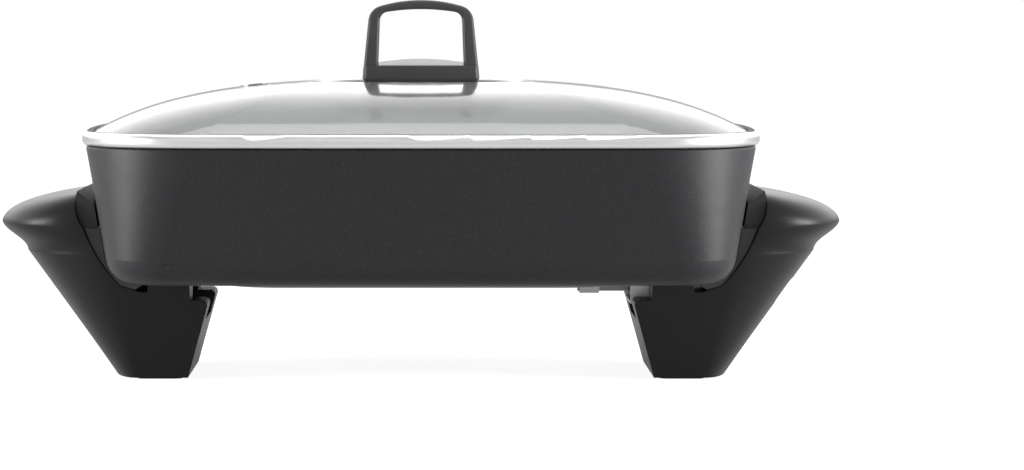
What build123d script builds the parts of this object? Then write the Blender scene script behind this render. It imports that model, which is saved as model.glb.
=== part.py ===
from build123d import *
from math import atan2, degrees, radians, tan
import os

# Electric skillet: a cast pan on two end pods, with a lift-off domed glass lid.
# Millimetres. +X runs along the length, +Y to the back, +Z up. The origin is on the floor,
# under the middle of the pan.

# Pan, with its plan at the rim and at the base
PAN_HALF_X = 201.6
PAN_HALF_Y = 149.5
PAN_CORNER_R = 73
PAN_END_BOW = 12
PAN_SIDE_BOW = 6
PAN_BASE_CORNER_R = 28
PAN_HEIGHT = 80
PAN_CLEARANCE = 61.5
WALL_TAPER = 9
PAN_WALL = 3.5
PAN_FLOOR = 4.5
PAN_BASE_R = 16
RIM_EDGE_R = 1.2

# Heating element, cast into a ridge under the pan, and the thermostat inlet
ELEMENT_END_INSET = 83.6
ELEMENT_SIDE_INSET = 79.5
ELEMENT_BEND_R = 34
ELEMENT_R = 4
ELEMENT_SINK = 5.5
RIDGE_HALF_WIDTH = 8
RIDGE_DROP = 2.5
LEAD_HALF_GAP = 14
LEAD_BEND_R = 12
LEAD_REACH = 30
LEAD_DROP = 6
LEAD_STEP_R = 4
PIN_R = 2
PIN_ROOT_R = 1.7
PIN_LENGTH = 22
PIN_TIP_CHAMFER = 0.7
BEAD_LENGTH = 5
BEAD_WALL = 1.4
PROBE_BORE_R = 3.4
PROBE_TUBE_WALL = 1.2
PROBE_TUBE_LENGTH = 52
PROBE_PAD_DROP = 3
CLIP_WIDTH = 12
CLIP_THICKNESS = 1.2
CLIP_EAR = 9
GUARD_HALF_Y = 24
GUARD_LENGTH = 44
GUARD_SHEET = 1.2
GUARD_DROP = 18
GUARD_EAR = 9

# End pods: grip, leg and foot in one hollow moulding. Reaches are from the pan's rim, and a
# station is a level section: rise above the lip, set-in of its tip and of its sides, and nose
POD_WALL = 3.2
POD_LIP_RISE = 31.5
POD_LIP_REACH = 54.6
POD_HALF_DEPTH = 62
POD_STATIONS = [
    (-17.5, 15.7, 1.5, 51),
    (-7.5, 7, 0.5, 54),
    (-2.5, 1.3, 0, 55),
    (0, 0, 0, 55),
    (3.4, 1.2, 0, 54),
    (8.7, 7, 1, 49),
    (14.2, 20, 3, 38),
    (18, 36, 6, 24),
    (19.8, 49.2, 10, 10),
]
LIP_STATION = 3
FOOT_HALF_DEPTH = 52
FOOT_NOSE = 16
FOOT_REACH = -15.4
TOE_REACH = -74.7
FOOT_TOE_REACH = -61.4
TOE_HEIGHT = 48
POST_REACH = -63.2
POST_WIDTH = 25
POST_GAP_HALF = 28
BAY_FLOOR = 34
TOE_EDGE_R = 3
PAD_HEIGHT = 3
PAD_PROUD = 1
PAD_LENGTH = 27
PAD_WIDTH = 18
PAD_MARGIN = 3.5
WINDOW_HALF_Y = 21.5
WINDOW_EDGE_R = 4

# Crease: inner edge of the pod, as reach past the pan's rim and rise above its base
CREASE_TOP = (3.9, 52)
CREASE_MID = (4.9, 43.5)
CREASE_NECK = (-0.1, 30)
CREASE_BEND = (-9.7, 10.2)
CREASE_LOW = (-21.6, -4.5)
CREASE_END = (-33.6, -8.5)

# Bracket strap between the pan and each pod, and the liner above it
STRAP_PLATE = 2
STRAP_TOP_RISE = 28
STRAP_TOE = (-30.6, -7)
STRAP_HALF_DEPTH = 58
STRAP_WINDOW_HALF = 30
STRAP_WINDOW_RISE = 6
LINER_LOW_RISE = 28.6
LINER_HALF_DEPTH = 57
LINER_GAP = 1.5
LINER_SLOPE = (-6.1, 44)
LINER_OPEN_TOP = 47
LINER_OPEN_LOW = 32
LINER_OPEN_HALF = 48
LINER_OPEN_DEPTH = 10.5
LINER_TAB = 2.6
LINER_TAB_WIDTH = 10

# Fasteners
POD_SCREW_REACH = -49.6
POD_SCREW_Y = 38
SCREW_R = 2
SCREW_HEAD_R = 3.8
SCREW_HEAD = 2.5
SCREW_SEAT_Z = 44
SCREW_DEPTH = 8
BOSS_WALL = 4.5
BOSS_DROP = 6
STRAP_SCREW_R = 1.75
STRAP_SCREW_HEAD_R = 3.3
STRAP_SCREW_HEAD = 1.8
STRAP_SCREW_INSET = 6.5
STRAP_SCREW_RISE = 19
STRAP_SCREW_LENGTH = 12
SMALL_SCREW_R = 1.5
SMALL_SCREW_HEAD_R = 2.9
SMALL_SCREW_HEAD = 1.8
SMALL_SCREW_DEPTH = 4.5
SMALL_BOSS_R = 4

# Lid. The dome's rings are shares of the glass outline, with a seat sunk inside the ridge
BAND_OVERHANG = 2
BAND_HEIGHT = 8.4
BAND_WALL = 2.6
BAND_LIP = 8
BAND_SHEET = 1.4
BAND_EDGE_R = 3.4
GLASS = 4
LID_RISE = 32.6
CROWN_SHARE = 0.41
SHOULDER_POWER = 4.8
DOME_RINGS = [1, 0.94, 0.87, 0.79, 0.71, 0.63, 0.56, 0.505, 0.45, 0.40, 0.36]
RIDGE_SHARE = 0.33
SEAT_SHARE = 0.22
SEAT_RINGS = 4
SEAT_DEPTH = 11.6
SEAL_WIDTH = 4
VENT_X = -101.5
VENT_R = 9
VENT_BORE_R = 3.5
VENT_TUBE_WALL = 1.1
VENT_FLANGE = 1.2
VENT_COLLAR_R = 7

# Lid handle
LOOP_HALF_FOOT = 34.9
LOOP_HALF_HEAD = 31.4
LOOP_DEPTH = 20
LOOP_CROWN = 5.8
LOOP_HEIGHT = 39.9
LOOP_CORNER_R = 10
LOOP_INNER_R = 5.5
LOOP_POST_FOOT = 8.8
LOOP_POST_HEAD = 6.4
LOOP_ARCH = 5.6
LOOP_INNER_BOW = 2.4
LOOP_EDGE_R = 2.2
BAR_HALF_HEAD = 35.2
BAR_HALF_WAIST = 35.8
BAR_HALF_FOOT = 30.4
BAR_HEIGHT = 17.6
BAR_WAIST_DROP = 8
BAR_DEPTH = 26
BAR_FOOT_DEPTH = 22.5
BAR_BOW = 2
BAR_CORNER_R = 2.5
BAR_EDGE_R = 0.8
WINDOW_HALF = 25.6
WINDOW_HEIGHT = 4.7
INSERT_CROWN = 2.3
INSERT_RISE = 2
INSERT_DEPTH = 19
FOOT_PLATE = 1
FOOT_PLATE_HALF_X = 31
FOOT_PLATE_DEPTH = 23
HANDLE_SCREW_X = 28.1
HANDLE_SCREW_RISE = 11.5
GASKET = 0.8
GASKET_R = 4.5
WASHER = 1
WASHER_R = 4.5

# Clearances, and how far a cutting shape stands past what it cuts
SEAT_GAP = 0.3
THREAD_GAP = 0.05
SLIP_GAP = 0.4
FACE_GAP = 0.1
CUT_MARGIN = 12

# Heights and reaches worked out from the sizes above
PAN_BASE = PAN_CLEARANCE
PAN_TOP = PAN_BASE + PAN_HEIGHT
ELEMENT_HALF_X = PAN_HALF_X - ELEMENT_END_INSET
ELEMENT_HALF_Y = PAN_HALF_Y - ELEMENT_SIDE_INSET
ELEMENT_Z = PAN_BASE - RIDGE_DROP - ELEMENT_R + ELEMENT_SINK
LEAD_ROOT = ELEMENT_HALF_X + LEAD_BEND_R
PIN_Z = ELEMENT_Z - LEAD_DROP
PROBE_R = PROBE_BORE_R + PROBE_TUBE_WALL
PROBE_Z = PAN_BASE - PROBE_PAD_DROP - PROBE_R
LEAD_END = ELEMENT_HALF_X + LEAD_REACH
BEAD_END = LEAD_END + BEAD_LENGTH
PIN_END = LEAD_END + PIN_LENGTH
GUARD_IN = PIN_END + GUARD_SHEET - GUARD_LENGTH
BOSS_R = SCREW_R + BOSS_WALL
STRAP_LOW = PAN_BASE - SEAT_GAP - STRAP_PLATE
POST_TOP = STRAP_LOW - FACE_GAP
POD_FAR = PAN_HALF_X + POD_LIP_REACH + CUT_MARGIN
POD_SCREW_X = PAN_HALF_X + POD_SCREW_REACH
STRAP_SCREW_X = PAN_HALF_X - STRAP_SCREW_INSET
STRAP_SCREW_Z = PAN_BASE + STRAP_SCREW_RISE
BAND_HALF_X = PAN_HALF_X + BAND_OVERHANG
BAND_HALF_Y = PAN_HALF_Y + BAND_OVERHANG
BAND_CORNER_R = PAN_CORNER_R + BAND_OVERHANG
BAND_LOW = PAN_TOP + SEAT_GAP
BAND_TOP = BAND_LOW + BAND_HEIGHT
GLASS_LOW = BAND_LOW + BAND_SHEET + FACE_GAP
GLASS_HALF_X = BAND_HALF_X - BAND_WALL - FACE_GAP
GLASS_HALF_Y = BAND_HALF_Y - BAND_WALL - FACE_GAP
GLASS_CORNER_R = BAND_CORNER_R - BAND_WALL - FACE_GAP
SEAT_Z = GLASS_LOW + GLASS + LID_RISE - SEAT_DEPTH
PLATE_Z = SEAT_Z + GASKET
BAR_Z = PLATE_Z + FOOT_PLATE
LOOP_Z = BAR_Z + BAR_HEIGHT
LOW_GASKET_Z = SEAT_Z - GLASS - GASKET
WASHER_Z = LOW_GASKET_Z - WASHER


def bowed_plan(half_x, half_y, corner_r, end_bow, side_bow):
    """Rounded rectangle whose four sides bow outwards, centred on the origin."""
    corner_x = half_x - end_bow
    corner_y = half_y - side_bow
    front = ThreePointArc((-corner_x, -corner_y), (0, -half_y), (corner_x, -corner_y))
    right = ThreePointArc((corner_x, -corner_y), (half_x, 0), (corner_x, corner_y))
    back = ThreePointArc((corner_x, corner_y), (0, half_y), (-corner_x, corner_y))
    left = ThreePointArc((-corner_x, corner_y), (-half_x, 0), (-corner_x, -corner_y))
    outline = make_face([front, right, back, left])
    return fillet(outline.vertices(), corner_r)


def both_ends(solid):
    """The same solid at the right end and mirrored at the left end."""
    return [solid, mirror(solid, about=Plane.YZ)]


def front_and_back(solid):
    return [solid, mirror(solid, about=Plane.XZ)]


def side_slab(face, half_depth):
    """A profile drawn in X and Z, thickened to both sides of the middle plane."""
    return extrude(Plane.XZ * face, amount=half_depth, both=True)


def upright(x, y, z_low, z_high, radius):
    middle = (z_low + z_high) / 2
    return Pos(x, y, middle) * Cylinder(radius, z_high - z_low)


def block(x_low, x_high, y_low, y_high, z_low, z_high):
    centre = Pos((x_low + x_high) / 2, (y_low + y_high) / 2, (z_low + z_high) / 2)
    return centre * Box(x_high - x_low, y_high - y_low, z_high - z_low)


# Pan ---------------------------------------------------------------------------------------

def pan_plan(z, inset):
    """The pan's outline at a height, set in from the outer wall."""
    rise = (z - PAN_BASE) / PAN_HEIGHT
    shrink = inset + (PAN_TOP - z) * tan(radians(WALL_TAPER))
    corner_r = PAN_BASE_CORNER_R + (PAN_CORNER_R - PAN_BASE_CORNER_R) * rise - inset
    half_x = PAN_HALF_X - shrink
    half_y = PAN_HALF_Y - shrink
    return Pos(0, 0, z) * bowed_plan(half_x, half_y, corner_r, PAN_END_BOW, PAN_SIDE_BOW)


def pan_tub(inset, z_low, z_high, base_r):
    """A tapered tub with a rounded bottom corner."""
    tub = loft([pan_plan(z_low, inset), pan_plan(z_high, inset)], ruled=True)
    return fillet(tub.edges().group_by(Axis.Z)[0], base_r)


def element_loop():
    """Centre line of the element under the pan, from one lead's root to the other's."""
    root = LEAD_ROOT + ELEMENT_R / 2
    corners = [
        (root, -LEAD_HALF_GAP),
        (ELEMENT_HALF_X, -LEAD_HALF_GAP),
        (ELEMENT_HALF_X, -ELEMENT_HALF_Y),
        (-ELEMENT_HALF_X, -ELEMENT_HALF_Y),
        (-ELEMENT_HALF_X, ELEMENT_HALF_Y),
        (ELEMENT_HALF_X, ELEMENT_HALF_Y),
        (ELEMENT_HALF_X, LEAD_HALF_GAP),
        (root, LEAD_HALF_GAP),
    ]
    bends = [LEAD_BEND_R] + [ELEMENT_BEND_R] * 4 + [LEAD_BEND_R]
    return Pos(0, 0, ELEMENT_Z) * FilletPolyline(*corners, radius=bends)


def lead_line(y):
    """Centre line of one lead, which steps down from the loop to the pins' height."""
    step_start = LEAD_ROOT + ELEMENT_R
    corners = [
        (LEAD_ROOT, ELEMENT_Z),
        (step_start, ELEMENT_Z),
        (step_start + LEAD_DROP, PIN_Z),
        (LEAD_END, PIN_Z),
    ]
    middle = Plane.XZ * FilletPolyline(*corners, radius=LEAD_STEP_R)
    return Pos(0, y, 0) * middle


def element_tube(radius):
    paths = [element_loop(), lead_line(-LEAD_HALF_GAP), lead_line(LEAD_HALF_GAP)]
    runs = []
    for path in paths:
        section = Plane(origin=path @ 0, z_dir=path % 0) * Circle(radius)
        runs.append(sweep(section, path=path))
    return runs[0] + runs[1] + runs[2]


def pan():
    """Cast tub, with the element's ridge, the probe's pad and the bosses on its underside."""
    shell = pan_tub(0, PAN_BASE, PAN_TOP, PAN_BASE_R)
    inside_r = PAN_BASE_R - PAN_FLOOR
    shell -= pan_tub(PAN_WALL, PAN_BASE + PAN_FLOOR, PAN_TOP + PAN_WALL, inside_r)
    shell = fillet(shell.edges().group_by(Axis.Z)[-1], RIM_EDGE_R)
    root = PAN_BASE + PAN_FLOOR / 2
    ridge = RectangleRounded(
        2 * (ELEMENT_HALF_X + RIDGE_HALF_WIDTH),
        2 * (ELEMENT_HALF_Y + RIDGE_HALF_WIDTH),
        ELEMENT_BEND_R + RIDGE_HALF_WIDTH,
    )
    ridge -= RectangleRounded(
        2 * (ELEMENT_HALF_X - RIDGE_HALF_WIDTH),
        2 * (ELEMENT_HALF_Y - RIDGE_HALF_WIDTH),
        ELEMENT_BEND_R - RIDGE_HALF_WIDTH,
    )
    ridge -= Pos(ELEMENT_HALF_X, 0) * Rectangle(4 * RIDGE_HALF_WIDTH, 2 * (PROBE_R + CLIP_THICKNESS))
    shell += Pos(0, 0, PAN_BASE - RIDGE_DROP) * extrude(ridge, amount=root - PAN_BASE + RIDGE_DROP)
    probe_in = LEAD_END - PROBE_TUBE_LENGTH
    shell += block(probe_in, LEAD_END, -PROBE_R, PROBE_R, PAN_BASE - PROBE_PAD_DROP, root)
    for end in (-1, 1):
        for side in (-1, 1):
            x = end * POD_SCREW_X
            y = side * POD_SCREW_Y
            shell += upright(x, y, PAN_BASE - BOSS_DROP, root, BOSS_R)
            hole_top = PAN_BASE - BOSS_DROP + SCREW_DEPTH
            shell -= upright(x, y, PAN_BASE - BOSS_DROP, hole_top, SCREW_R + THREAD_GAP)
    for x, y in guard_screw_places() + clip_screw_places():
        shell += upright(x, y, PAN_BASE - PROBE_PAD_DROP, root, SMALL_BOSS_R)
        hole_top = PAN_BASE - PROBE_PAD_DROP + SMALL_SCREW_DEPTH
        shell -= upright(x, y, PAN_BASE - PROBE_PAD_DROP, hole_top, SMALL_SCREW_R + THREAD_GAP)
    shell -= element_tube(ELEMENT_R + FACE_GAP)
    return shell


# Element, pins and inlet -------------------------------------------------------------------

def along_x(x_low, x_high, y, z, radius):
    middle = (x_low + x_high) / 2
    return Pos(middle, y, z) * Rot(0, 90, 0) * Cylinder(radius, x_high - x_low)


def heating_element():
    """Sheathed tube, bored at both ends for the pins."""
    tube = element_tube(ELEMENT_R)
    for y in (-LEAD_HALF_GAP, LEAD_HALF_GAP):
        tube -= along_x(LEAD_END - BEAD_LENGTH, LEAD_END, y, PIN_Z, PIN_ROOT_R + THREAD_GAP)
    return tube


def pin_beads():
    """Ceramic collars that close the ends of the sheath round each pin."""
    bead = along_x(LEAD_END, BEAD_END, LEAD_HALF_GAP, PIN_Z, PIN_ROOT_R + BEAD_WALL)
    bead -= along_x(LEAD_END, BEAD_END, LEAD_HALF_GAP, PIN_Z, PIN_ROOT_R + THREAD_GAP)
    return front_and_back(bead)


def terminal_pins():
    """Pins with a thinner root, held in the sheath and the bead."""
    pin = along_x(BEAD_END + THREAD_GAP, PIN_END, LEAD_HALF_GAP, PIN_Z, PIN_R)
    pin = chamfer(pin.edges().group_by(Axis.X)[-1], PIN_TIP_CHAMFER)
    pin += along_x(LEAD_END - BEAD_LENGTH, BEAD_END + PIN_R, LEAD_HALF_GAP, PIN_Z, PIN_ROOT_R)
    return front_and_back(pin)


def probe_tube():
    """Blind tube that the thermostat's probe slides into."""
    tube = along_x(LEAD_END - PROBE_TUBE_LENGTH, LEAD_END, 0, PROBE_Z, PROBE_R - FACE_GAP)
    bore_end = LEAD_END - PROBE_TUBE_LENGTH + PROBE_TUBE_WALL
    tube -= along_x(bore_end, LEAD_END, 0, PROBE_Z, PROBE_BORE_R)
    return tube


def clip_x():
    return LEAD_END - PROBE_TUBE_LENGTH + CLIP_WIDTH / 2 + CLIP_THICKNESS


def clip_screw_places():
    y = PROBE_R + CLIP_THICKNESS + CLIP_EAR / 2
    return [(clip_x(), -y), (clip_x(), y)]


def probe_clip():
    """Saddle strap that holds the probe tube up to its pad."""
    ear_top = PAN_BASE - PROBE_PAD_DROP
    inner = PROBE_R
    outer = inner + CLIP_THICKNESS
    saddle = Circle(outer) + Pos(0, outer / 2) * Rectangle(2 * outer, outer)
    saddle -= Circle(inner) + Pos(0, inner) * Rectangle(2 * inner, 2 * inner)
    lift = ear_top - PROBE_Z
    saddle -= Pos(0, lift + outer) * Rectangle(4 * outer, 2 * outer)
    ears = Pos(0, lift - CLIP_THICKNESS / 2) * Rectangle(2 * (outer + CLIP_EAR), CLIP_THICKNESS)
    ears -= Pos(0, lift - CLIP_THICKNESS / 2) * Rectangle(2 * inner, 2 * CLIP_THICKNESS)
    strap = Plane.YZ * (saddle + ears)
    clip = Pos(clip_x(), 0, PROBE_Z) * extrude(strap, amount=CLIP_WIDTH / 2, both=True)
    for x, y in clip_screw_places():
        clip -= upright(x, y, ear_top - CLIP_THICKNESS, ear_top, SMALL_SCREW_R + SLIP_GAP)
    return clip


def guard_screw_places():
    x = GUARD_IN + GUARD_EAR / 2
    y = GUARD_HALF_Y + GUARD_EAR / 2
    return [(x, -y), (x, y)]


def inlet_guard():
    """Steel channel round the pins, open at both ends, hung from two ears."""
    x_high = GUARD_IN + GUARD_LENGTH
    ear_top = PAN_BASE - PROBE_PAD_DROP
    low = PAN_BASE - GUARD_DROP
    channel = block(GUARD_IN, x_high, -GUARD_HALF_Y, GUARD_HALF_Y, low, ear_top)
    inner_y = GUARD_HALF_Y - GUARD_SHEET
    channel -= block(GUARD_IN, x_high, -inner_y, inner_y, low + GUARD_SHEET, ear_top)
    for side in (-1, 1):
        ear_y = sorted([side * inner_y, side * (GUARD_HALF_Y + GUARD_EAR)])
        channel += block(GUARD_IN, GUARD_IN + GUARD_EAR, *ear_y, ear_top - GUARD_SHEET, ear_top)
    for x, y in guard_screw_places():
        channel -= upright(x, y, ear_top - 2 * GUARD_SHEET, ear_top, SMALL_SCREW_R + SLIP_GAP)
    return channel


def small_screws(places, sheet):
    """Screws with round heads that hold a sheet up to the pan's small bosses."""
    ear_low = PAN_BASE - PROBE_PAD_DROP - sheet
    tip = PAN_BASE - PROBE_PAD_DROP + SMALL_SCREW_DEPTH - SLIP_GAP
    screws = []
    for x, y in places:
        head = upright(x, y, ear_low - SMALL_SCREW_HEAD, ear_low, SMALL_SCREW_HEAD_R)
        head = fillet(head.edges().group_by(Axis.Z)[0], SMALL_SCREW_HEAD / 2)
        screws.append(head + upright(x, y, ear_low, tip, SMALL_SCREW_R))
    return screws


# End pods ----------------------------------------------------------------------------------

def crease_point(place):
    reach, rise = place
    return (PAN_HALF_X + reach, PAN_BASE + rise)


def pod_section(height, tip, half_depth, nose, inset):
    """One level section: a flat-sided bullet that points away from the pan."""
    root = PAN_HALF_X + TOE_REACH - CUT_MARGIN
    start = tip - nose
    depth = half_depth - inset
    sides = Polyline((start, depth), (root, depth), (root, -depth), (start, -depth))
    end = EllipticalCenterArc((start, 0), nose - inset, depth, -90, arc_size=180)
    return Pos(0, 0, height) * make_face([sides, end])


def pod_mass(inset):
    """The pod's outer shape, or its cavity, before the side facing the pan is cut."""
    foot = pod_section(PAD_PROUD, PAN_HALF_X + FOOT_REACH, FOOT_HALF_DEPTH, FOOT_NOSE, inset)
    lip_x = PAN_HALF_X + POD_LIP_REACH
    lip_z = PAN_BASE + POD_LIP_RISE
    grip = []
    for rise, tip_in, side_in, nose in POD_STATIONS:
        grip.append(pod_section(lip_z + rise, lip_x - tip_in, POD_HALF_DEPTH - side_in, nose, inset))
    leg = loft([foot, grip[0]], ruled=True)
    flare = loft(grip[:LIP_STATION + 1])
    crown = loft(grip[LIP_STATION:])
    return leg + flare + crown


def pod_side():
    """The pod seen from the front: everything outside the crease, post, toe and foot."""
    high = PAN_BASE + CREASE_TOP[1] + CUT_MARGIN
    toe_x = PAN_HALF_X + TOE_REACH
    foot_x = PAN_HALF_X + FOOT_TOE_REACH
    post_in = PAN_HALF_X + POST_REACH
    post_out = post_in + POST_WIDTH
    top = crease_point(CREASE_TOP)
    low = crease_point(CREASE_LOW)
    neck = crease_point(CREASE_NECK)
    end = crease_point(CREASE_END)
    corners = [
        end,
        (post_out, end[1]),
        (post_out, POST_TOP),
        (post_in, POST_TOP),
        (post_in, TOE_HEIGHT),
        (toe_x, TOE_HEIGHT),
        (foot_x, 0),
        (POD_FAR, 0),
        (POD_FAR, high),
        (top[0], high),
        top,
    ]
    edges = [
        Polyline(*corners),
        ThreePointArc(top, crease_point(CREASE_MID), neck),
        ThreePointArc(neck, crease_point(CREASE_BEND), low),
        Line(low, end),
    ]
    return make_face(edges)


def pod_moulding(has_window):
    """Hollow grip and leg at the right end, with screw tunnels up from the foot."""
    side = pod_side()
    mass = pod_mass(0) & side_slab(side, 2 * POD_HALF_DEPTH)
    mass = fillet(mass.edges().filter_by(Axis.Y).sort_by(Axis.X)[0], TOE_EDGE_R)
    mass -= block(
        PAN_HALF_X + TOE_REACH - POD_WALL, PAN_HALF_X + CREASE_LOW[0],
        -POST_GAP_HALF, POST_GAP_HALF, BAY_FLOOR, PAN_BASE,
    )
    hollow = pod_mass(POD_WALL) & Pos(0, 0, -POD_WALL) * pod_mass(POD_WALL)
    hollow &= side_slab(offset(side, amount=-POD_WALL), 2 * POD_HALF_DEPTH)
    hollow &= block(
        0, POD_FAR, -PAN_HALF_Y, PAN_HALF_Y, PAD_HEIGHT + POD_WALL, PAN_BASE + LINER_OPEN_TOP,
    )
    hollow -= block(
        0, PAN_HALF_X + CREASE_LOW[0] + POD_WALL,
        -POST_GAP_HALF - POD_WALL, POST_GAP_HALF + POD_WALL, BAY_FLOOR - POD_WALL, PAN_BASE,
    )
    screw_end = STRAP_SCREW_X + STRAP_SCREW_LENGTH
    boss_end = screw_end + POD_WALL
    for y in (-POD_SCREW_Y, POD_SCREW_Y):
        hollow -= upright(POD_SCREW_X, y, 0, PAN_BASE, SCREW_HEAD_R + SLIP_GAP + POD_WALL)
        hollow -= along_x(STRAP_SCREW_X, boss_end, y, STRAP_SCREW_Z, STRAP_SCREW_R + POD_WALL)
    mass -= hollow
    mass -= block(
        PAN_HALF_X - LINER_OPEN_DEPTH, PAN_HALF_X + LINER_OPEN_DEPTH, -LINER_OPEN_HALF,
        LINER_OPEN_HALF, PAN_BASE + LINER_OPEN_LOW, PAN_BASE + LINER_OPEN_TOP,
    )
    for y in (-POD_SCREW_Y, POD_SCREW_Y):
        mass -= upright(POD_SCREW_X, y, 0, SCREW_SEAT_Z, SCREW_HEAD_R + SLIP_GAP)
        mass -= upright(POD_SCREW_X, y, SCREW_SEAT_Z, PAN_BASE, SCREW_R + SLIP_GAP)
        mass -= upright(POD_SCREW_X, y, PAN_BASE - BOSS_DROP - SEAT_GAP, PAN_BASE, BOSS_R + SLIP_GAP)
        mass -= along_x(STRAP_SCREW_X, screw_end, y, STRAP_SCREW_Z, STRAP_SCREW_R + THREAD_GAP)
        mass -= pad_solid(y, SLIP_GAP)
    if has_window:
        window = block(
            PAN_HALF_X + CREASE_END[0], POD_FAR, -WINDOW_HALF_Y, WINDOW_HALF_Y,
            PAN_BASE - GUARD_DROP, PAN_BASE - PROBE_PAD_DROP,
        )
        mass -= fillet(window.edges().filter_by(Axis.X), WINDOW_EDGE_R)
    return mass


def pad_solid(y, gap):
    """One rubber pad, pressed up into the sole of the foot."""
    x_low = PAN_HALF_X + FOOT_TOE_REACH + PAD_MARGIN - gap
    x_high = x_low + PAD_LENGTH + 2 * gap
    width = PAD_WIDTH / 2 + gap
    pad = block(x_low, x_high, y - width, y + width, 0, PAD_HEIGHT)
    return fillet(pad.edges().filter_by(Axis.Z), PAD_WIDTH / 4)


def foot_pads():
    return both_ends(pad_solid(POD_SCREW_Y, 0)) + both_ends(pad_solid(-POD_SCREW_Y, 0))


# Straps and liners -------------------------------------------------------------------------

def pan_keep_out(gap):
    """The pan's outer shape grown by a gap, used to clear what lies against it."""
    return pan_tub(-gap, PAN_BASE - gap, PAN_TOP, PAN_BASE_R)


def strap():
    """Bent bracket between the pan's bottom corner and the pod, with a foot under the pan."""
    top = PAN_BASE + STRAP_TOP_RISE
    plate_in = PAN_HALF_X + POST_REACH
    plate_out = plate_in + POST_WIDTH
    neck = crease_point(CREASE_NECK)
    low = crease_point(CREASE_LOW)
    toe = crease_point(STRAP_TOE)
    edges = [
        Polyline(low, toe, (plate_out, STRAP_LOW), (plate_in, STRAP_LOW), (plate_in, top), neck),
        ThreePointArc(neck, crease_point(CREASE_BEND), low),
    ]
    profile = Pos(-FACE_GAP, 0) * make_face(edges)
    body = side_slab(profile, STRAP_HALF_DEPTH)
    body -= pan_keep_out(SEAT_GAP)
    body -= block(
        0, PAN_HALF_X, -STRAP_WINDOW_HALF, STRAP_WINDOW_HALF, 0, PAN_BASE + STRAP_WINDOW_RISE,
    )
    head_room = STRAP_SCREW_X - 2 * STRAP_SCREW_HEAD_R
    screw_end = STRAP_SCREW_X + STRAP_SCREW_LENGTH
    for y in (-POD_SCREW_Y, POD_SCREW_Y):
        body -= upright(POD_SCREW_X, y, 0, PAN_BASE, BOSS_R + SLIP_GAP)
        body -= along_x(head_room, STRAP_SCREW_X, y, STRAP_SCREW_Z, STRAP_SCREW_HEAD_R + SLIP_GAP)
        body -= along_x(head_room, screw_end, y, STRAP_SCREW_Z, STRAP_SCREW_R + SLIP_GAP)
    return body


def strap_screws():
    screws = []
    head_end = STRAP_SCREW_X - STRAP_SCREW_HEAD
    tip = STRAP_SCREW_X + STRAP_SCREW_LENGTH - SLIP_GAP
    for y in (-POD_SCREW_Y, POD_SCREW_Y):
        head = along_x(head_end, STRAP_SCREW_X, y, STRAP_SCREW_Z, STRAP_SCREW_HEAD_R)
        shank = along_x(STRAP_SCREW_X, tip, y, STRAP_SCREW_Z, STRAP_SCREW_R)
        screws += both_ends(head + shank)
    return screws


def pod_screws():
    """Long screws up through the feet into the pan's bosses."""
    tip = PAN_BASE - BOSS_DROP + SCREW_DEPTH - SLIP_GAP
    screws = []
    for y in (-POD_SCREW_Y, POD_SCREW_Y):
        head = upright(POD_SCREW_X, y, SCREW_SEAT_Z - SCREW_HEAD, SCREW_SEAT_Z, SCREW_HEAD_R)
        head = fillet(head.edges().group_by(Axis.Z)[0], SCREW_HEAD / 2)
        screws += both_ends(head + upright(POD_SCREW_X, y, SCREW_SEAT_Z, tip, SCREW_R))
    return screws


def liner():
    """Cover that closes the pod's inner side above the strap and slopes down to the pan."""
    neck = crease_point(CREASE_NECK)
    top = crease_point(CREASE_TOP)
    slope = crease_point(LINER_SLOPE)
    inner_x = neck[0] - CUT_MARGIN
    edges = [
        ThreePointArc(top, crease_point(CREASE_MID), neck),
        Polyline(neck, (inner_x, neck[1]), (inner_x, slope[1]), slope, top),
    ]
    profile = Pos(-FACE_GAP, 0) * make_face(edges)
    body = side_slab(profile, LINER_HALF_DEPTH)
    body &= block(0, POD_FAR, -PAN_HALF_Y, PAN_HALF_Y, PAN_BASE + LINER_LOW_RISE, PAN_TOP)
    body -= pan_keep_out(LINER_GAP)
    tab_low = PAN_BASE + LINER_OPEN_LOW + SEAT_GAP
    tab_high = PAN_BASE + LINER_OPEN_TOP - SEAT_GAP
    tab_root = PAN_HALF_X - LINER_TAB / 2
    tab_end = PAN_HALF_X + POD_WALL + LINER_TAB
    tab_out = LINER_OPEN_HALF - SEAT_GAP
    tab_in = tab_out - LINER_TAB_WIDTH
    body += block(tab_root, tab_end, tab_in, tab_out, tab_low, tab_high)
    body += block(tab_root, tab_end, -tab_out, -tab_in, tab_low, tab_high)
    return body


# Lid ---------------------------------------------------------------------------------------

def band_plan(inset):
    """The rim band's outline, set in evenly."""
    half_x = BAND_HALF_X - inset
    half_y = BAND_HALF_Y - inset
    return bowed_plan(half_x, half_y, BAND_CORNER_R - inset, PAN_END_BOW, PAN_SIDE_BOW)


def glass_plan(share, inset):
    """The glass outline at a share of its size, from 1 at the edge down to the crown."""
    return bowed_plan(
        (GLASS_HALF_X - inset) * share,
        (GLASS_HALF_Y - inset) * share,
        (GLASS_CORNER_R - inset) * share,
        PAN_END_BOW * share,
        PAN_SIDE_BOW * share,
    )


def dome_height(share):
    """Height above the glass edge: a shallow crown, a tight shoulder and a sunk seat."""
    drop = CROWN_SHARE * share**2 + (1 - CROWN_SHARE) * share**SHOULDER_POWER
    height = LID_RISE * (1 - drop)
    if share < RIDGE_SHARE:
        ramp = (share - SEAT_SHARE) / (RIDGE_SHARE - SEAT_SHARE)
        ease = ramp * ramp * (3 - 2 * ramp)
        seat = LID_RISE - SEAT_DEPTH
        height = seat + (height - seat) * ease
    return height


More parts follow.
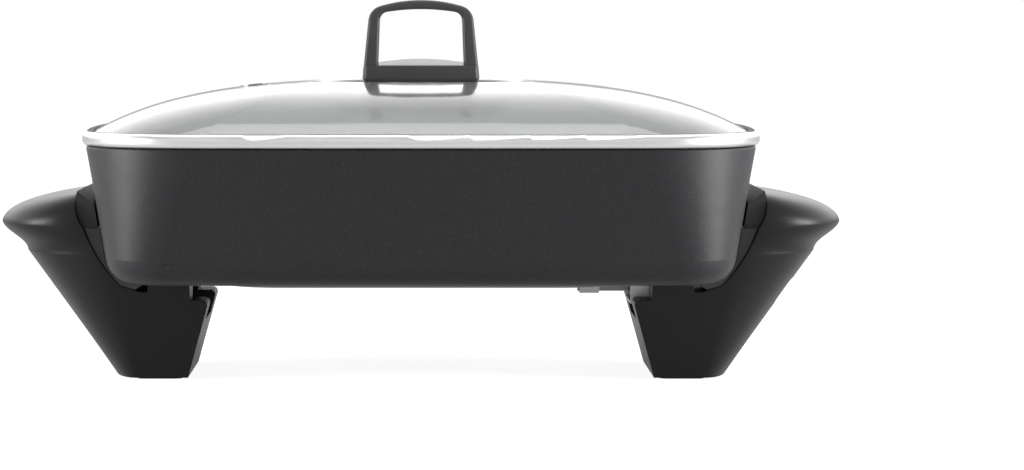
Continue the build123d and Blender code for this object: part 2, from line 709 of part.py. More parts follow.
def dome(inset):
    """Solid under the glass surface, from the edge plane up to the sunk seat."""
    ring_step = (RIDGE_SHARE - SEAT_SHARE) / SEAT_RINGS
    shares = DOME_RINGS + [RIDGE_SHARE - ring_step * ring for ring in range(SEAT_RINGS + 1)]
    return loft([Pos(0, 0, dome_height(share)) * glass_plan(share, inset) for share in shares])


def dome_slope(x):
    """Angle of the crown at a distance from the middle, in degrees."""
    near = (abs(x) - GLASS) / GLASS_HALF_X
    far = (abs(x) + GLASS) / GLASS_HALF_X
    return degrees(atan2(dome_height(near) - dome_height(far), 2 * GLASS))


def lid_glass():
    """Domed glass of even thickness, with holes for the handle's screws and the vent."""
    edge = extrude(glass_plan(1, 0), amount=GLASS)
    outer = edge + Pos(0, 0, GLASS) * dome(0)
    glass = Pos(0, 0, GLASS_LOW) * (outer - dome(SLIP_GAP))
    for x in (-HANDLE_SCREW_X, HANDLE_SCREW_X):
        glass -= upright(x, 0, SEAT_Z - 3 * GLASS, SEAT_Z + GLASS, SMALL_SCREW_R + 2 * SLIP_GAP)
    glass -= vent_place() * Cylinder(VENT_BORE_R + VENT_TUBE_WALL + FACE_GAP, 4 * GLASS)
    return glass


def rim_band():
    """Rolled stainless strip: an outer wall and a lip that turns in under the glass."""
    ring = band_plan(0) - band_plan(BAND_LIP)
    band = extrude(ring, amount=BAND_HEIGHT)
    outer = band.faces().sort_by(Axis.Z)[0].outer_wire().edges()
    outer += band.faces().sort_by(Axis.Z)[-1].outer_wire().edges()
    band = fillet(outer, BAND_EDGE_R)
    band -= Pos(0, 0, BAND_SHEET) * extrude(band_plan(BAND_WALL), amount=BAND_HEIGHT)
    return Pos(0, 0, BAND_LOW) * band


def rim_seal():
    """Dark bead pressed between the band and the top of the glass edge."""
    outline = glass_plan(1, 0)
    ring = outline - band_plan(BAND_WALL + FACE_GAP + SEAL_WIDTH)
    bead_low = GLASS_LOW + GLASS / 2
    bead = Pos(0, 0, bead_low) * extrude(ring, amount=BAND_TOP - bead_low)
    glass = extrude(outline, amount=GLASS) + Pos(0, 0, GLASS) * dome(0)
    return bead - Pos(0, 0, GLASS_LOW + FACE_GAP) * glass


def vent_place():
    """On the crown's surface, square to it."""
    share = abs(VENT_X) / GLASS_HALF_X
    z = GLASS_LOW + GLASS + dome_height(share)
    return Pos(VENT_X, 0, z) * Rot(0, -dome_slope(VENT_X), 0)


def vent_grommet():
    """Pressed eyelet: a flange on the glass and a tube down through it."""
    tube_r = VENT_BORE_R + VENT_TUBE_WALL
    drop = GLASS + 2 * VENT_FLANGE
    flange = Pos(0, 0, SEAT_GAP + VENT_FLANGE / 2) * Cylinder(VENT_R, VENT_FLANGE)
    flange = fillet(flange.edges().group_by(Axis.Z)[-1], VENT_FLANGE / 2)
    tube = Pos(0, 0, VENT_FLANGE - drop / 2) * Cylinder(tube_r, drop)
    bore = Cylinder(VENT_BORE_R, 4 * GLASS)
    return vent_place() * (flange + tube - bore)


def vent_collar():
    """Ring that holds the grommet from below."""
    tube_r = VENT_BORE_R + VENT_TUBE_WALL
    ring = Cylinder(VENT_COLLAR_R, VENT_FLANGE) - Cylinder(tube_r + THREAD_GAP, 2 * VENT_FLANGE)
    return vent_place() * Pos(0, 0, -GLASS - SEAT_GAP - VENT_FLANGE / 2) * ring


# Lid handle --------------------------------------------------------------------------------

def arched_profile(half_foot, half_head, height, bow, corner_r):
    """Two leaning sides under a bowed top, with rounded upper corners."""
    eave = height - bow
    sides = Polyline((half_head, eave), (half_foot, 0), (-half_foot, 0), (-half_head, eave))
    arch = ThreePointArc((-half_head, eave), (0, height), (half_head, eave))
    profile = make_face([sides, arch])
    return fillet(profile.vertices().group_by(Axis.Y)[-1], corner_r)


def handle_loop():
    """Two leaning posts and a low arch, moulded as one loop."""
    outer = arched_profile(LOOP_HALF_FOOT, LOOP_HALF_HEAD, LOOP_HEIGHT, LOOP_CROWN, LOOP_CORNER_R)
    foot = LOOP_HALF_FOOT - LOOP_POST_FOOT
    head = LOOP_HALF_HEAD - LOOP_POST_HEAD
    inner = arched_profile(foot, head, LOOP_HEIGHT - LOOP_ARCH, LOOP_INNER_BOW, LOOP_INNER_R)
    loop = side_slab(outer - inner, LOOP_DEPTH / 2)
    long_edges = loop.faces().sort_by(Axis.Y)[0].edges() + loop.faces().sort_by(Axis.Y)[-1].edges()
    loop = fillet([edge for edge in long_edges if edge.center().Z > FACE_GAP], LOOP_EDGE_R)
    for x in (-HANDLE_SCREW_X, HANDLE_SCREW_X):
        loop -= upright(x, 0, 0, HANDLE_SCREW_RISE, SMALL_SCREW_R + THREAD_GAP)
    return Pos(0, 0, LOOP_Z) * loop


def bar_plan(z, half_x, depth):
    """One level outline of the crossbar, with its front and back bowed out."""
    return Pos(0, 0, z) * bowed_plan(half_x, depth / 2, BAR_CORNER_R, BAR_BOW / 2, BAR_BOW)


def handle_bar():
    """Crossbar creased at its waist, on two feet with a window between them."""
    waist_z = BAR_HEIGHT - BAR_WAIST_DROP
    waist = bar_plan(waist_z, BAR_HALF_WAIST, BAR_DEPTH)
    head = loft([waist, bar_plan(BAR_HEIGHT, BAR_HALF_HEAD, BAR_DEPTH)], ruled=True)
    head = fillet(head.edges().group_by(Axis.Z)[-1], BAR_EDGE_R)
    bar = head + loft([bar_plan(0, BAR_HALF_FOOT, BAR_FOOT_DEPTH), waist], ruled=True)
    bar -= block(-WINDOW_HALF, WINDOW_HALF, -BAR_DEPTH, BAR_DEPTH, 0, WINDOW_HEIGHT)
    for x in (-HANDLE_SCREW_X, HANDLE_SCREW_X):
        bar -= upright(x, 0, 0, BAR_HEIGHT, SMALL_SCREW_R + THREAD_GAP)
    return Pos(0, 0, BAR_Z) * bar


def handle_insert():
    """Crowned metal saddle that fills the floor of the loop."""
    half = LOOP_HALF_FOOT - LOOP_POST_FOOT - SEAT_GAP
    sides = Polyline((half, INSERT_RISE), (half, 0), (-half, 0), (-half, INSERT_RISE))
    crown = ThreePointArc((-half, INSERT_RISE), (0, INSERT_RISE + INSERT_CROWN), (half, INSERT_RISE))
    saddle = side_slab(make_face([sides, crown]), INSERT_DEPTH / 2)
    return Pos(0, 0, LOOP_Z + FACE_GAP) * saddle


def handle_foot_plate():
    """Thin plate that joins the bar's feet on the glass."""
    outline = RectangleRounded(2 * FOOT_PLATE_HALF_X, FOOT_PLATE_DEPTH, FOOT_PLATE_DEPTH / 4)
    plate = extrude(outline, amount=FOOT_PLATE)
    for x in (-HANDLE_SCREW_X, HANDLE_SCREW_X):
        plate -= upright(x, 0, 0, FOOT_PLATE, SMALL_SCREW_R + THREAD_GAP)
    return Pos(0, 0, PLATE_Z) * plate


def handle_rings(z_low, thickness, radius, bore):
    """A pair of rings round the handle's screws."""
    rings = []
    for x in (-HANDLE_SCREW_X, HANDLE_SCREW_X):
        ring = upright(x, 0, z_low, z_low + thickness, radius)
        rings.append(ring - upright(x, 0, z_low, z_low + thickness, bore))
    return rings


def handle_screws():
    """Screws up through the glass, the bar and into the loop's posts."""
    tip = LOOP_Z + HANDLE_SCREW_RISE - SLIP_GAP
    screws = []
    for x in (-HANDLE_SCREW_X, HANDLE_SCREW_X):
        head = upright(x, 0, WASHER_Z - SMALL_SCREW_HEAD, WASHER_Z, SMALL_SCREW_HEAD_R)
        head = fillet(head.edges().group_by(Axis.Z)[0], SMALL_SCREW_HEAD / 2)
        screws.append(head + upright(x, 0, WASHER_Z, tip, SMALL_SCREW_R))
    return screws


def save(name, shape):
    """Write one node: a solid, or a group of separate like solids."""
    solids = shape if isinstance(shape, list) else [shape]
    pieces = [solid for item in solids for solid in item.solids()]
    export_step(pieces[0] if len(pieces) == 1 else Compound(children=pieces), f"parts/{name}.step")


os.makedirs("parts", exist_ok=True)

save("pan", pan())
save("heating_element", heating_element())
save("pin_beads", pin_beads())
save("terminal_pins", terminal_pins())
save("probe_tube", probe_tube())
save("probe_clip", probe_clip())
save("probe_clip_screws", small_screws(clip_screw_places(), CLIP_THICKNESS))
save("inlet_guard", inlet_guard())
save("inlet_guard_screws", small_screws(guard_screw_places(), GUARD_SHEET))

save("right_pod", pod_moulding(True))
save("left_pod", mirror(pod_moulding(False), about=Plane.YZ))
right_strap, left_strap = both_ends(strap())
save("right_strap", right_strap)
save("left_strap", left_strap)
right_liner, left_liner = both_ends(liner())
save("right_liner", right_liner)
save("left_liner", left_liner)
save("pod_screws", pod_screws())
save("strap_screws", strap_screws())
save("foot_pads", foot_pads())

save("lid_glass", lid_glass())
save("rim_band", rim_band())
save("rim_seal", rim_seal())
save("vent_grommet", vent_grommet())
save("vent_collar", vent_collar())
save("handle_loop", handle_loop())
save("handle_bar", handle_bar())
save("handle_insert", handle_insert())
save("handle_foot_plate", handle_foot_plate())
save("handle_gaskets", handle_rings(SEAT_Z, GASKET, GASKET_R, SMALL_SCREW_R + SLIP_GAP))
save("glass_gaskets", handle_rings(LOW_GASKET_Z, GASKET, GASKET_R, SMALL_SCREW_R + SLIP_GAP))
save("handle_washers", handle_rings(WASHER_Z, WASHER, WASHER_R, SMALL_SCREW_R + THREAD_GAP))
save("handle_screws", handle_screws())
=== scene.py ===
import math

import bpy
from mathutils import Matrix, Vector

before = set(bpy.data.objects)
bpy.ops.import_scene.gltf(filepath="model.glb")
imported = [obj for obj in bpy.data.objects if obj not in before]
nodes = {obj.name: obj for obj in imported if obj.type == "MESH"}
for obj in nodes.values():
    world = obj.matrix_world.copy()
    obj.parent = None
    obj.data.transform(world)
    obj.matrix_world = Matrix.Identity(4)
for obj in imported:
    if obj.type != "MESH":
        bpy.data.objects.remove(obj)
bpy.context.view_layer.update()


# Pan: a deep cast-aluminium tub. It is cast in one piece with its element ridge and bosses,
# then sprayed and baked with a dark non-stick coat that carries fine pale flecks.

COAT_DARK = (0.026, 0.026, 0.029)
COAT_FLECK = (0.058, 0.06, 0.064)
COAT_SPECULAR = 0.3
FLECK_EDGE = 0.38
FLECK_CORE = 0.12
GRAIN_DEPTH = 0.0001


def node(tree, kind, inputs=None, **settings):
    """One shader node with its settings and its unlinked input values."""
    made = tree.nodes.new(kind)
    for name, value in settings.items():
        setattr(made, name, value)
    for name, value in (inputs or {}).items():
        made.inputs[name].default_value = value
    return made


def effect_group(name, inputs, output):
    """An empty effect: a node group with named number inputs and one number output."""
    tree = bpy.data.node_groups.new(name, "ShaderNodeTree")
    for label in inputs:
        tree.interface.new_socket(label, in_out="INPUT", socket_type="NodeSocketFloat")
    tree.interface.new_socket(output, in_out="OUTPUT", socket_type="NodeSocketFloat")
    return tree, node(tree, "NodeGroupInput"), node(tree, "NodeGroupOutput")


def fleck_effect():
    """Small round flecks scattered over a coat, of uneven size."""
    tree, source, result = effect_group("flecks", ["Scale", "Share"], "Mask")
    place = node(tree, "ShaderNodeTexCoord")
    cells = node(tree, "ShaderNodeTexVoronoi")
    tree.links.new(place.outputs["Object"], cells.inputs["Vector"])
    tree.links.new(source.outputs["Scale"], cells.inputs["Scale"])
    pick = node(tree, "ShaderNodeSeparateColor")
    tree.links.new(cells.outputs["Color"], pick.inputs["Color"])
    chosen = node(tree, "ShaderNodeMath", operation="LESS_THAN")
    tree.links.new(pick.outputs["Red"], chosen.inputs[0])
    tree.links.new(source.outputs["Share"], chosen.inputs[1])
    dot = node(tree, "ShaderNodeMapRange", {"From Min": FLECK_EDGE, "From Max": FLECK_CORE})
    tree.links.new(cells.outputs["Distance"], dot.inputs["Value"])
    mask = node(tree, "ShaderNodeMath", operation="MULTIPLY")
    tree.links.new(chosen.outputs[0], mask.inputs[0])
    tree.links.new(dot.outputs[0], mask.inputs[1])
    tree.links.new(mask.outputs[0], result.inputs["Mask"])
    return tree


def grain_effect():
    """Even fine grain, for coats, mouldings and castings."""
    tree, source, result = effect_group("grain", ["Scale", "Detail"], "Height")
    place = node(tree, "ShaderNodeTexCoord")
    noise = node(tree, "ShaderNodeTexNoise", {"Roughness": 0.6})
    tree.links.new(place.outputs["Object"], noise.inputs["Vector"])
    tree.links.new(source.outputs["Scale"], noise.inputs["Scale"])
    tree.links.new(source.outputs["Detail"], noise.inputs["Detail"])
    tree.links.new(noise.outputs[0], result.inputs["Height"])
    return tree


def smudge_effect():
    """Slow cloudy change between two values, as handling and wiping leave."""
    tree, source, result = effect_group("smudge", ["Scale", "Low", "High"], "Value")
    place = node(tree, "ShaderNodeTexCoord")
    noise = node(tree, "ShaderNodeTexNoise", {"Detail": 4, "Roughness": 0.65})
    tree.links.new(place.outputs["Object"], noise.inputs["Vector"])
    tree.links.new(source.outputs["Scale"], noise.inputs["Scale"])
    spread = node(tree, "ShaderNodeMapRange", {"From Min": 0.3, "From Max": 0.7})
    tree.links.new(noise.outputs[0], spread.inputs["Value"])
    tree.links.new(source.outputs["Low"], spread.inputs["To Min"])
    tree.links.new(source.outputs["High"], spread.inputs["To Max"])
    tree.links.new(spread.outputs[0], result.inputs["Value"])
    return tree


FLECKS = fleck_effect()
GRAIN = grain_effect()
SMUDGE = smudge_effect()


def material(name):
    """A new material, with its node tree and its shader."""
    made = bpy.data.materials.new(name)
    made.use_nodes = True
    return made, made.node_tree, made.node_tree.nodes["Principled BSDF"]


def effect(tree, group, **inputs):
    """Place an effect in a material with its own values."""
    made = node(tree, "ShaderNodeGroup", node_tree=group)
    for name, value in inputs.items():
        made.inputs[name].default_value = value
    return made


def tint(tree, shader, mask, low, high):
    """Base colour that runs from one colour to another with a mask."""
    mix = node(tree, "ShaderNodeMix", data_type="RGBA")
    mix.inputs["A"].default_value = (*low, 1)
    mix.inputs["B"].default_value = (*high, 1)
    tree.links.new(mask, mix.inputs["Factor"])
    tree.links.new(mix.outputs["Result"], shader.inputs["Base Color"])


def gloss(tree, shader, scale, low, high):
    """Roughness that drifts between two values."""
    wear = effect(tree, SMUDGE, Scale=scale, Low=low, High=high)
    tree.links.new(wear.outputs["Value"], shader.inputs["Roughness"])


def relief(tree, shader, height, strength, depth, edge=0):
    """Fine bumps, and corners that shade as if eased by the edge radius."""
    bump = node(tree, "ShaderNodeBump", {"Strength": strength, "Distance": depth})
    tree.links.new(height, bump.inputs["Height"])
    if edge:
        eased = node(tree, "ShaderNodeBevel", {"Radius": edge}, samples=6)
        tree.links.new(eased.outputs["Normal"], bump.inputs["Normal"])
    tree.links.new(bump.outputs["Normal"], shader.inputs["Normal"])


def grain_relief(tree, shader, scale, detail, strength, edge=0):
    """Relief of even grain, as coats, mouldings and fired or drawn faces have."""
    grain = effect(tree, GRAIN, Scale=scale, Detail=detail)
    relief(tree, shader, grain.outputs["Height"], strength, GRAIN_DEPTH, edge)


def finish_with(made, *names):
    """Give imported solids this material."""
    for name in names:
        solid = nodes[name]
        solid.data.materials.clear()
        solid.data.materials.append(made)


def flecked_coat():
    made, tree, shader = material("flecked_coat")
    flecks = effect(tree, FLECKS, Scale=1150, Share=0.4)
    tint(tree, shader, flecks.outputs["Mask"], COAT_DARK, COAT_FLECK)
    gloss(tree, shader, scale=9, low=0.40, high=0.46)
    grain_relief(tree, shader, scale=1400, detail=2, strength=0.25)
    shader.inputs["Specular IOR Level"].default_value = COAT_SPECULAR
    return made


finish_with(flecked_coat(), "pan")


# Heating element and probe tube: steel tube. The element's sheath is bent to a loop and cast in
# under the pan. The heat leaves the metal straw and blue in places.

STEEL_STRAW = (0.30, 0.28, 0.25)
STEEL_BLUE = (0.20, 0.21, 0.25)


def cloudy_tint(tree, shader, scale, low, high):
    """Base colour that drifts between two colours."""
    cloud = effect(tree, SMUDGE, Scale=scale, Low=0, High=1)
    tint(tree, shader, cloud.outputs["Value"], low, high)


def heated_steel():
    made, tree, shader = material("heated_steel")
    cloudy_tint(tree, shader, 26, STEEL_STRAW, STEEL_BLUE)
    gloss(tree, shader, scale=60, low=0.34, high=0.5)
    grain_relief(tree, shader, scale=700, detail=3, strength=0.2)
    shader.inputs["Metallic"].default_value = 1
    return made


finish_with(heated_steel(), "heating_element", "probe_tube")


# Ceramic beads: fired collars, unglazed and chalky. They close the ends of the sheath and keep
# each pin clear of it.

CERAMIC_SHADE = (0.74, 0.70, 0.62)
CERAMIC_PALE = (0.82, 0.79, 0.72)
CERAMIC_ROUGHNESS = 0.75


def fired_ceramic():
    made, tree, shader = material("fired_ceramic")
    cloudy_tint(tree, shader, 200, CERAMIC_SHADE, CERAMIC_PALE)
    grain_relief(tree, shader, scale=2400, detail=3, strength=0.3)
    shader.inputs["Roughness"].default_value = CERAMIC_ROUGHNESS
    return made


finish_with(fired_ceramic(), "pin_beads")


# Terminal pins: turned and nickel plated, one in each end of the element. The thermostat's plug
# slides over them and wears them bright.

NICKEL_DULL = (0.62, 0.60, 0.55)
NICKEL_BRIGHT = (0.72, 0.70, 0.66)


def nickel_plate():
    made, tree, shader = material("nickel_plate")
    cloudy_tint(tree, shader, 150, NICKEL_DULL, NICKEL_BRIGHT)
    gloss(tree, shader, scale=400, low=0.16, high=0.3)
    shader.inputs["Metallic"].default_value = 1
    return made


finish_with(nickel_plate(), "terminal_pins")


# Inlet guard, probe clip, washers and the vent's lower collar: pressed from bright steel sheet,
# with faint rolling lines left in it.

SHEET_SHADE = (0.48, 0.48, 0.48)
SHEET_BRIGHT = (0.62, 0.62, 0.62)
ROLLED_DEPTH = 0.00005


def rolled_effect():
    """Fine lines along X, as rolling leaves in sheet."""
    tree, source, result = effect_group("rolled", ["Scale", "Stretch"], "Value")
    place = node(tree, "ShaderNodeTexCoord")
    split = node(tree, "ShaderNodeSeparateXYZ")
    join = node(tree, "ShaderNodeCombineXYZ")
    squeeze = node(tree, "ShaderNodeMath", operation="MULTIPLY")
    tree.links.new(place.outputs["Object"], split.inputs[0])
    tree.links.new(split.outputs["X"], squeeze.inputs[0])
    tree.links.new(source.outputs["Stretch"], squeeze.inputs[1])
    tree.links.new(squeeze.outputs[0], join.inputs["X"])
    tree.links.new(split.outputs["Y"], join.inputs["Y"])
    tree.links.new(split.outputs["Z"], join.inputs["Z"])
    noise = node(tree, "ShaderNodeTexNoise", {"Detail": 3, "Roughness": 0.7})
    tree.links.new(join.outputs[0], noise.inputs["Vector"])
    tree.links.new(source.outputs["Scale"], noise.inputs["Scale"])
    tree.links.new(noise.outputs[0], result.inputs["Value"])
    return tree


ROLLED = rolled_effect()


def rolled_face(tree, shader, scale, stretch, low, high, strength, edge=0):
    """Bare metal with rolling lines in both its colour and its relief."""
    lines = effect(tree, ROLLED, Scale=scale, Stretch=stretch)
    tint(tree, shader, lines.outputs["Value"], low, high)
    relief(tree, shader, lines.outputs["Value"], strength, ROLLED_DEPTH, edge)
    shader.inputs["Metallic"].default_value = 1


def sheet_steel():
    made, tree, shader = material("sheet_steel")
    rolled_face(tree, shader, 900, 0.05, SHEET_SHADE, SHEET_BRIGHT, strength=0.15)
    gloss(tree, shader, scale=70, low=0.28, high=0.42)
    return made


finish_with(sheet_steel(), "inlet_guard", "probe_clip", "handle_washers", "vent_collar")


# Screws: headed from steel wire and zinc plated, a little dull and cloudy. The long ones run up
# through the legs into the pan's bosses, and the lid handle's run up through the glass.

ZINC_DULL = (0.42, 0.43, 0.44)
ZINC_BRIGHT = (0.56, 0.57, 0.58)


def zinc_plate():
    made, tree, shader = material("zinc_plate")
    cloudy_tint(tree, shader, 260, ZINC_DULL, ZINC_BRIGHT)
    gloss(tree, shader, scale=500, low=0.3, high=0.45)
    shader.inputs["Metallic"].default_value = 1
    return made


ZINC_PLATE = zinc_plate()
finish_with(ZINC_PLATE, "probe_clip_screws", "inlet_guard_screws")
finish_with(ZINC_PLATE, "pod_screws", "strap_screws", "handle_screws")


# End pods: grip, leg and foot moulded in one piece from black thermoset, with a satin face
# that is a little smoother where hands and cloths polish it.

POD_SHADE = 0.012
WORN_SHARE = 1.25
MOULDING_SPECULAR = 0.2
EASED_EDGE = 0.0008


def satin_moulding(name, shade):
    made, tree, shader = material(name)
    worn = WORN_SHARE * shade
    cloudy_tint(tree, shader, 14, (shade, shade, shade), (worn, worn, worn))
    gloss(tree, shader, scale=22, low=0.34, high=0.40)
    grain_relief(tree, shader, scale=1800, detail=2, strength=0.18, edge=EASED_EDGE)
    shader.inputs["Specular IOR Level"].default_value = MOULDING_SPECULAR
    return made


finish_with(satin_moulding("pod_moulding", POD_SHADE), "right_pod", "left_pod")


# Straps: brackets of painted metal, bent to the curve between the pan's bottom corner and each
# pod. Each has a foot under the pan, and two screws hold it to its pod.

PAINT_DARK = (0.028, 0.028, 0.03)
PAINT_WORN = (0.036, 0.036, 0.038)


def bracket_paint():
    made, tree, shader = material("bracket_paint")
    cloudy_tint(tree, shader, 30, PAINT_DARK, PAINT_WORN)
    gloss(tree, shader, scale=40, low=0.3, high=0.4)
    grain_relief(tree, shader, scale=1000, detail=2, strength=0.15, edge=EASED_EDGE)
    return made


finish_with(bracket_paint(), "right_strap", "left_strap")


# Liners: plain matt mouldings that close each pod's inner side above its strap. Two tabs place
# each one in its pod.

LINER_DARK = (0.016, 0.016, 0.017)
LINER_PALE = (0.021, 0.021, 0.022)
LINER_ROUGHNESS = 0.55


def matt_moulding():
    made, tree, shader = material("matt_moulding")
    cloudy_tint(tree, shader, 30, LINER_DARK, LINER_PALE)
    grain_relief(tree, shader, scale=1500, detail=3, strength=0.3)
    shader.inputs["Roughness"].default_value = LINER_ROUGHNESS
    return made


finish_with(matt_moulding(), "right_liner", "left_liner")


# Foot pads, seal and gaskets: moulded rubber and silicone, matt and faintly dusty. The pads are
# pressed up into the feet, and the seal lies between the rim band and the glass.

RUBBER_CLEAN = (0.018, 0.018, 0.018)
RUBBER_DUSTY = (0.034, 0.033, 0.032)
RUBBER_ROUGHNESS = 0.7


def dusty_rubber():
    made, tree, shader = material("dusty_rubber")
    cloudy_tint(tree, shader, 120, RUBBER_CLEAN, RUBBER_DUSTY)
    grain_relief(tree, shader, scale=2000, detail=3, strength=0.35)
    shader.inputs["Roughness"].default_value = RUBBER_ROUGHNESS
    return made


finish_with(dusty_rubber(), "foot_pads", "rim_seal", "handle_gaskets", "glass_gaskets")


# Lid glass: clear tempered glass, sagged hot into a dome with a sunk seat for the handle.
# Faint wiping marks show only as a change in gloss.

GLASS_TINT = (0.68, 0.69, 0.69)
GLASS_CLEARNESS = 0.85
GLASS_IOR = 1.5


def clear_glass():
    made, tree, shader = material("clear_glass")
    gloss(tree, shader, scale=10, low=0.07, high=0.11)
    shader.inputs["Base Color"].default_value = (*GLASS_TINT, 1)
    shader.inputs["Transmission Weight"].default_value = GLASS_CLEARNESS
    shader.inputs["IOR"].default_value = GLASS_IOR
    return made


finish_with(clear_glass(), "lid_glass")


# Rim band and vent eyelet: stainless strip, rolled or pressed to shape and polished. The band
# turns in under the edge of the glass, and the eyelet passes down through it.

STAINLESS_SHADE = (0.70, 0.70, 0.71)
STAINLESS_BRIGHT = (0.82, 0.82, 0.82)
ROLLED_EDGE = 0.0015


def polished_stainless():
    made, tree, shader = material("polished_stainless")
    rolled_face(tree, shader, 1200, 0.02, STAINLESS_SHADE, STAINLESS_BRIGHT, 0.06, ROLLED_EDGE)
    gloss(tree, shader, scale=20, low=0.26, high=0.33)
    return made


finish_with(polished_stainless(), "rim_band", "vent_grommet")


# Lid handle: loop, crossbar and foot plate are moulded like the pods, with a lighter base
# colour than the pods. The saddle between the posts is a satin aluminium pressing.

HANDLE_SHADE = 0.07
ALUMINIUM_SHADE = (0.74, 0.74, 0.75)
ALUMINIUM_BRIGHT = (0.86, 0.86, 0.86)


def satin_aluminium():
    made, tree, shader = material("satin_aluminium")
    rolled_face(tree, shader, 1500, 0.03, ALUMINIUM_SHADE, ALUMINIUM_BRIGHT, strength=0.1)
    gloss(tree, shader, scale=60, low=0.42, high=0.52)
    return made


HANDLE_MOULDING = satin_moulding("handle_moulding", HANDLE_SHADE)
finish_with(HANDLE_MOULDING, "handle_loop", "handle_bar", "handle_foot_plate")
finish_with(satin_aluminium(), "handle_insert")


# Studio: a pale floor, soft boxes on both sides and overhead, and a camera at the front. The
# room is white to the camera and through glass. Glossy faces find it graded: behind, a bright
# belt above a grey foot, and in front a softer wall.

FLOOR_HALF = 9.0
PAPER_SHADE = 0.5
PAPER_ROUGHNESS = 0.9
PAPER_SPECULAR = 0.1
PAPER_SEEN_GLOW = 0.9
PAPER_MIRRORED_GLOW = 0.4


def floor_sheet():
    mesh = bpy.data.meshes.new("floor")
    corners = [(-FLOOR_HALF, -FLOOR_HALF, 0), (FLOOR_HALF, -FLOOR_HALF, 0),
               (FLOOR_HALF, FLOOR_HALF, 0), (-FLOOR_HALF, FLOOR_HALF, 0)]
    mesh.from_pydata(corners, [], [(0, 1, 2, 3)])
    made = bpy.data.objects.new("floor", mesh)
    bpy.context.scene.collection.objects.link(made)
    return made


def seen_rays(tree):
    """Light Path, and a mask of the rays that see a thing straight or through glass."""
    light_path = node(tree, "ShaderNodeLightPath")
    seen = node(tree, "ShaderNodeMath", operation="MAXIMUM")
    tree.links.new(light_path.outputs["Is Camera Ray"], seen.inputs[0])
    tree.links.new(light_path.outputs["Is Transmission Ray"], seen.inputs[1])
    return light_path, seen.outputs[0]


def pale_paper():
    made, tree, shader = material("pale_paper")
    shader.inputs["Base Color"].default_value = (PAPER_SHADE, PAPER_SHADE, PAPER_SHADE, 1)
    shader.inputs["Roughness"].default_value = PAPER_ROUGHNESS
    shader.inputs["Specular IOR Level"].default_value = PAPER_SPECULAR
    shader.inputs["Emission Color"].default_value = (1, 1, 1, 1)
    light_path, seen = seen_rays(tree)
    mirrored = node(tree, "ShaderNodeMath", operation="MULTIPLY")
    mirrored.inputs[1].default_value = PAPER_MIRRORED_GLOW
    tree.links.new(light_path.outputs["Is Glossy Ray"], mirrored.inputs[0])
    lift = node(tree, "ShaderNodeMath", operation="MULTIPLY_ADD")
    lift.inputs[1].default_value = PAPER_SEEN_GLOW
    tree.links.new(seen, lift.inputs[0])
    tree.links.new(mirrored.outputs[0], lift.inputs[2])
    tree.links.new(lift.outputs[0], shader.inputs["Emission Strength"])
    return made


floor = floor_sheet()
floor.data.materials.append(pale_paper())

LAMP_AIM = (0, 0, 0.1)


def soft_box(name, place, width, height, power):
    """A rectangular lamp that faces the middle of the set."""
    lamp = bpy.data.lights.new(name, "AREA")
    lamp.shape = "RECTANGLE"
    lamp.size = width
    lamp.size_y = height
    lamp.energy = power
    made = bpy.data.objects.new(name, lamp)
    made.location = place
    facing = Vector(LAMP_AIM) - Vector(place)
    made.rotation_euler = facing.to_track_quat("-Z", "Y").to_euler()
    bpy.context.scene.collection.objects.link(made)


soft_box("left_box", place=(-1.15, -0.3, 0.22), width=0.5, height=0.32, power=10)
soft_box("right_box", place=(1.15, -0.3, 0.22), width=0.5, height=0.32, power=13)
soft_box("overhead_box", place=(0, 0.1, 1.7), width=1.6, height=1.0, power=13)

# Strengths of the room, then the places where they change, as parts of a unit direction.
SEEN_STRENGTH = 1.0
FILL_STRENGTH = 0.24
FRONT_SIDE = 0.4
FRONT_MIDDLE = 0.95
BACK_FOOT = 0.42
BACK_BELT = 2.7
TOP_SHARE = 0.4
BELT_LOW = 0.02
BELT_FULL = 0.22
FADE_LOW = 0.35
FADE_HIGH = 0.8
TURN_HALF = 0.2


def graded(tree, along, start, end, low, high):
    """A number that runs from low to high as another runs from start to end."""
    limits = {"From Min": start, "From Max": end, "To Min": low, "To Max": high}
    made = node(tree, "ShaderNodeMapRange", limits)
    tree.links.new(along, made.inputs["Value"])
    return made.outputs[0]


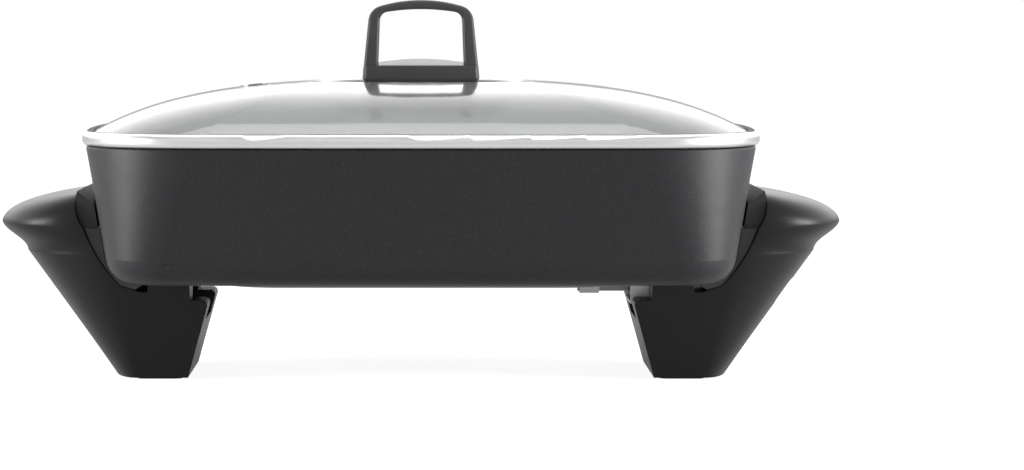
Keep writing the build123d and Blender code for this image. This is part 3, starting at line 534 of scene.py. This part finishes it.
def blended(tree, factor, first, second):
    """A number between two others, each of them a plain value or a socket."""
    made = node(tree, "ShaderNodeMix", data_type="FLOAT")
    tree.links.new(factor, made.inputs["Factor"])
    for label, source in (("A", first), ("B", second)):
        if isinstance(source, float):
            made.inputs[label].default_value = source
        else:
            tree.links.new(source, made.inputs[label])
    return made.outputs["Result"]


def mirrored_room(tree):
    """How bright glossy faces find the room, by direction."""
    direction = node(tree, "ShaderNodeTexCoord")
    split = node(tree, "ShaderNodeSeparateXYZ")
    tree.links.new(direction.outputs["Generated"], split.inputs[0])
    depth = split.outputs["Y"]
    height = split.outputs["Z"]
    rising = graded(tree, height, BELT_LOW, BELT_FULL, BACK_FOOT, BACK_BELT)
    fading = graded(tree, height, FADE_LOW, FADE_HIGH, 1, TOP_SHARE)
    back = node(tree, "ShaderNodeMath", operation="MULTIPLY")
    tree.links.new(rising, back.inputs[0])
    tree.links.new(fading, back.inputs[1])
    front = graded(tree, depth, 0, -1, FRONT_SIDE, FRONT_MIDDLE)
    is_back = graded(tree, depth, -TURN_HALF, TURN_HALF, 0, 1)
    return blended(tree, is_back, front, back.outputs[0])


world = bpy.data.worlds.new("studio")
bpy.context.scene.world = world
world.use_nodes = True
room = world.node_tree
background = room.nodes["Background"]
room_path, room_seen = seen_rays(room)
unseen = blended(room, room_path.outputs["Is Glossy Ray"], FILL_STRENGTH, mirrored_room(room))
strength = blended(room, room_seen, unseen, SEEN_STRENGTH)
room.links.new(strength, background.inputs["Strength"])
background.inputs["Color"].default_value = (1, 1, 1, 1)

CAMERA_DISTANCE = 2.2
CAMERA_HEIGHT = 0.2185
CAMERA_PITCH = 3.505
CAMERA_LENS = 126.3
CAMERA_SHIFT = 0.0889
LEVEL = 90
camera_data = bpy.data.cameras.new("camera")
camera_data.lens = CAMERA_LENS
camera_data.shift_x = CAMERA_SHIFT
camera = bpy.data.objects.new("camera", camera_data)
camera.location = (0, -CAMERA_DISTANCE, CAMERA_HEIGHT)
camera.rotation_euler = (math.radians(LEVEL - CAMERA_PITCH), 0, 0)
bpy.context.scene.collection.objects.link(camera)
bpy.context.scene.camera = camera
bpy.context.scene.view_settings.view_transform = "Standard"
